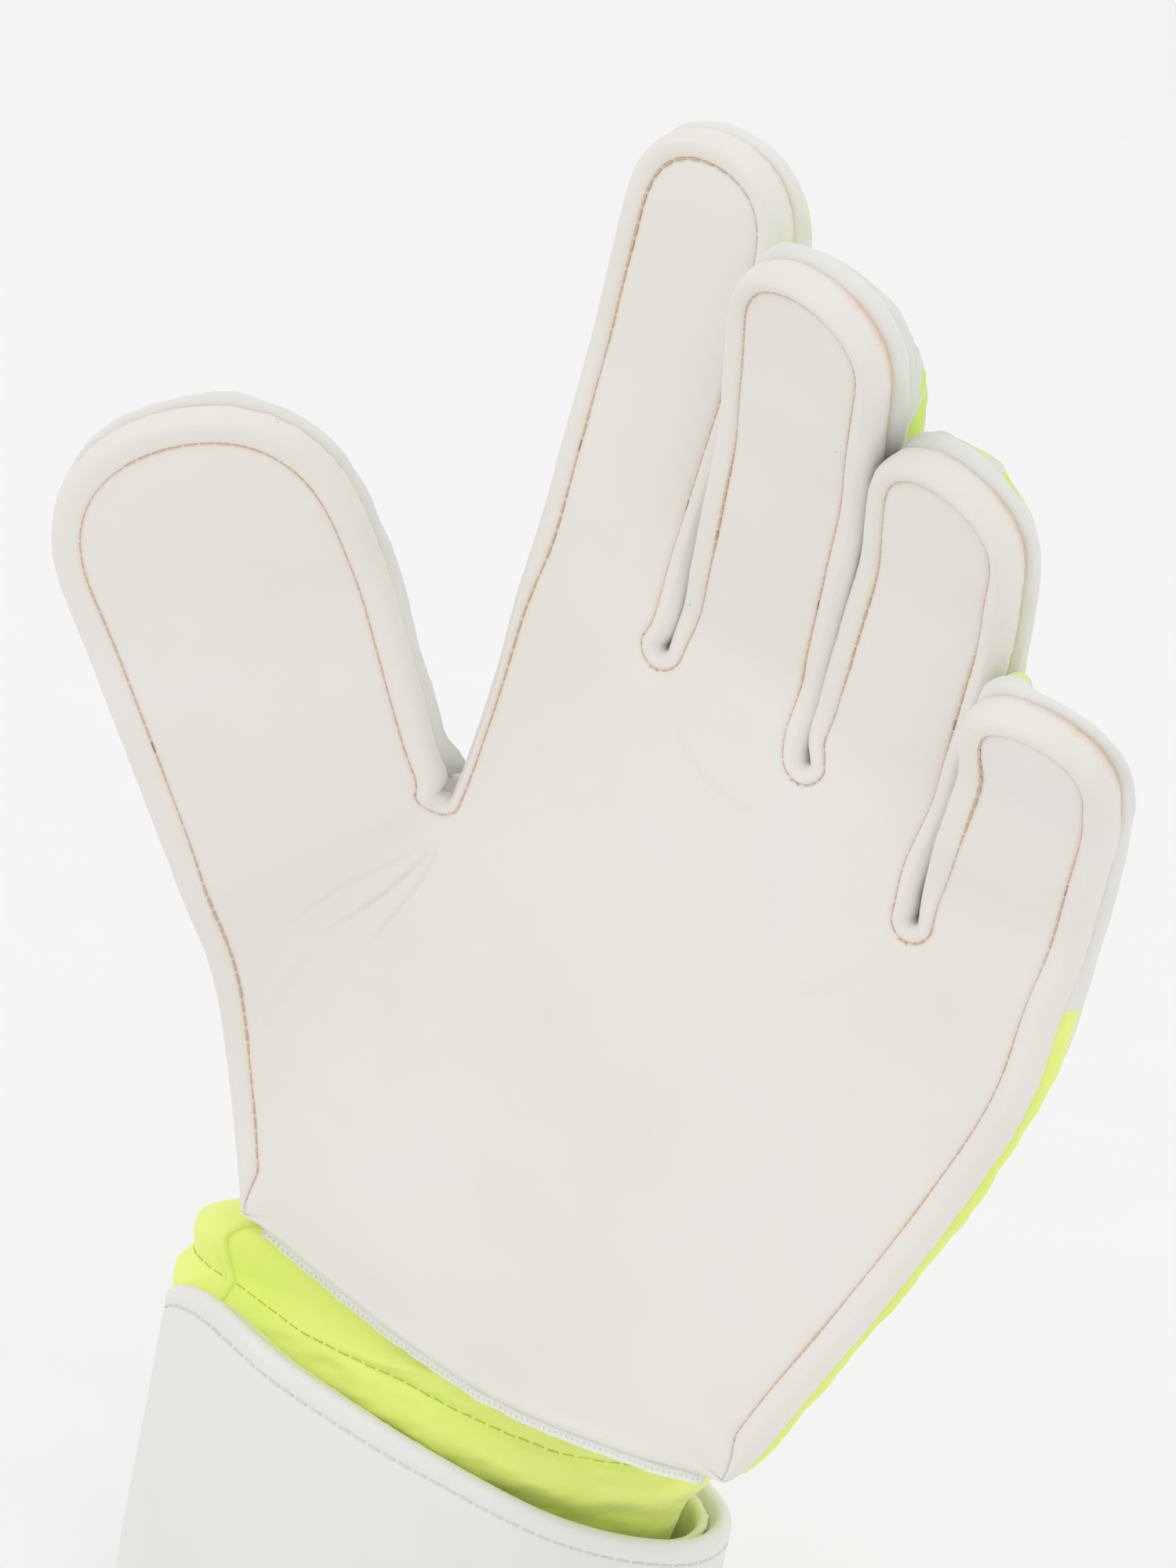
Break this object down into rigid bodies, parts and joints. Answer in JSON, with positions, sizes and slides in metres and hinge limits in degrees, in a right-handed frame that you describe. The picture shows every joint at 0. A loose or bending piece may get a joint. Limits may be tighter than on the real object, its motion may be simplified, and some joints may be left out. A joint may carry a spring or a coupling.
{
  "type": "goalkeeper glove",
  "caption": "Left-hand goalkeeper glove with a flat foam palm, padded back, gusseted fingers that bend at two joints, knit cuff and wide wrist strap.",
  "frame": {"origin": "centre of the wrist opening, in the plane of the strap's lower edge", "axes": "+Z along the forearm towards the fingertips, the palm faces -Y, the thumb is at -X, the little finger at +X"},
  "size_m": [0.1904, 0.1051, 0.2887],
  "materials": {
    "palm_latex": "matte foam latex",
    "back_fabric": "matte foam-backed knit, printed",
    "gusset_fabric": "soft matte knit",
    "lining_fabric": "brushed towel knit",
    "cuff_knit": "ribbed elastic knit",
    "strap_skin": "satin coated skin",
    "strap_plush": "plush",
    "loop_fabric": "brushed loop pile",
    "hook_plastic": "moulded hooks",
    "grip_rubber": "satin moulded tab"
  },
  "bodies": {
    "hand": {"back_lining": "lining_fabric", "back_panel": "back_fabric", "cuff_bandage": "cuff_knit", "cuff_hem": "cuff_knit", "loop_patch": "loop_fabric", "palm_lining": "lining_fabric", "palm_pad": "palm_latex", "radial_gusset": "gusset_fabric", "strap_lining": "strap_plush", "strap_wrap": "strap_skin", "thenar_back": "back_fabric", "ulnar_gusset": "gusset_fabric", "web_gusset": "gusset_fabric"},
    "strap_tail_flap": {"strap_tail": "strap_skin", "tail_grip": "grip_rubber", "hook_patch": "hook_plastic"},
    "index_proximal": {"index_proximal_back": "back_fabric", "index_proximal_pad": "palm_latex", "index_proximal_radial_gusset": "gusset_fabric", "index_proximal_ulnar_gusset": "gusset_fabric"},
    "index_distal": {"index_distal_back": "back_fabric", "index_distal_gusset": "gusset_fabric", "index_distal_pad": "palm_latex"},
    "middle_proximal": {"middle_proximal_back": "back_fabric", "middle_proximal_pad": "palm_latex", "middle_proximal_radial_gusset": "gusset_fabric", "middle_proximal_ulnar_gusset": "gusset_fabric"},
    "middle_distal": {"middle_distal_back": "back_fabric", "middle_distal_gusset": "gusset_fabric", "middle_distal_pad": "palm_latex"},
    "ring_proximal": {"ring_proximal_back": "back_fabric", "ring_proximal_pad": "palm_latex", "ring_proximal_radial_gusset": "gusset_fabric", "ring_proximal_ulnar_gusset": "gusset_fabric"},
    "ring_distal": {"ring_distal_back": "back_fabric", "ring_distal_gusset": "gusset_fabric", "ring_distal_pad": "palm_latex"},
    "little_proximal": {"little_proximal_back": "back_fabric", "little_proximal_pad": "palm_latex", "little_proximal_radial_gusset": "gusset_fabric", "little_proximal_ulnar_gusset": "gusset_fabric"},
    "little_distal": {"little_distal_back": "back_fabric", "little_distal_gusset": "gusset_fabric", "little_distal_pad": "palm_latex"},
    "thumb_proximal": {"thumb_proximal_back": "back_fabric", "thumb_proximal_pad": "palm_latex", "thumb_proximal_radial_gusset": "gusset_fabric", "thumb_proximal_ulnar_gusset": "gusset_fabric"},
    "thumb_distal": {"thumb_distal_back": "back_fabric", "thumb_distal_gusset": "gusset_fabric", "thumb_distal_pad": "palm_latex"}
  },
  "joints": [
    {"name": "index_knuckle", "type": "hinge", "parent": "hand", "child": "index_proximal", "pos_m": [0.01268, -0.0245, 0.21431], "axis": [0.9901, -0.0174, -0.1391], "range_deg": [-8, 45], "stiffness_Nm_per_rad": 0.08},
    {"name": "index_mid_bend", "type": "hinge", "parent": "index_proximal", "child": "index_distal", "pos_m": [0.01751, -0.02633, 0.24893], "axis": [0.9901, -0.0174, -0.1391], "range_deg": [-8, 45], "stiffness_Nm_per_rad": 0.05},
    {"name": "middle_knuckle", "type": "hinge", "parent": "hand", "child": "middle_proximal", "pos_m": [0.04078, -0.0245, 0.20953], "axis": [0.9703, 0, -0.2419], "range_deg": [-8, 45], "stiffness_Nm_per_rad": 0.08},
    {"name": "middle_mid_bend", "type": "hinge", "parent": "middle_proximal", "child": "middle_distal", "pos_m": [0.04946, -0.03974, 0.24437], "axis": [0.9703, 0, -0.2419], "range_deg": [-8, 45], "stiffness_Nm_per_rad": 0.05},
    {"name": "ring_knuckle", "type": "hinge", "parent": "hand", "child": "ring_proximal", "pos_m": [0.06803, -0.0245, 0.20049], "axis": [0.9659, 0, -0.2588], "range_deg": [-8, 45], "stiffness_Nm_per_rad": 0.08},
    {"name": "ring_mid_bend", "type": "hinge", "parent": "ring_proximal", "child": "ring_distal", "pos_m": [0.07624, -0.03669, 0.23115], "axis": [0.9659, 0, -0.2588], "range_deg": [-8, 45], "stiffness_Nm_per_rad": 0.05},
    {"name": "little_knuckle", "type": "hinge", "parent": "hand", "child": "little_proximal", "pos_m": [0.09517, -0.02451, 0.18392], "axis": [0.9836, 0.1045, -0.147], "range_deg": [-8, 45], "stiffness_Nm_per_rad": 0.08},
    {"name": "little_mid_bend", "type": "hinge", "parent": "little_proximal", "child": "little_distal", "pos_m": [0.09939, -0.03345, 0.20579], "axis": [0.9836, 0.1045, -0.147], "range_deg": [-8, 45], "stiffness_Nm_per_rad": 0.05},
    {"name": "thumb_knuckle", "type": "hinge", "parent": "hand", "child": "thumb_proximal", "pos_m": [-0.02866, -0.03593, 0.1651], "axis": [0.8095, 0.3599, 0.4639], "range_deg": [-8, 30], "stiffness_Nm_per_rad": 0.08},
    {"name": "thumb_mid_bend", "type": "hinge", "parent": "thumb_proximal", "child": "thumb_distal", "pos_m": [-0.03936, -0.04669, 0.19213], "axis": [0.8095, 0.3599, 0.4639], "range_deg": [-8, 30], "stiffness_Nm_per_rad": 0.05},
    {"name": "strap_tail_peel", "type": "hinge", "parent": "hand", "child": "strap_tail_flap", "pos_m": [-0.05, -0.00176, 0.027], "axis": [0, 0, 1], "range_deg": [0, 85], "stiffness_Nm_per_rad": 0.02}
  ],
  "couplings": [
    {"joint": "index_mid_bend", "follows": "index_knuckle", "ratio": 1},
    {"joint": "middle_mid_bend", "follows": "middle_knuckle", "ratio": 1},
    {"joint": "ring_mid_bend", "follows": "ring_knuckle", "ratio": 1},
    {"joint": "little_mid_bend", "follows": "little_knuckle", "ratio": 1},
    {"joint": "thumb_mid_bend", "follows": "thumb_knuckle", "ratio": 1}
  ]
}
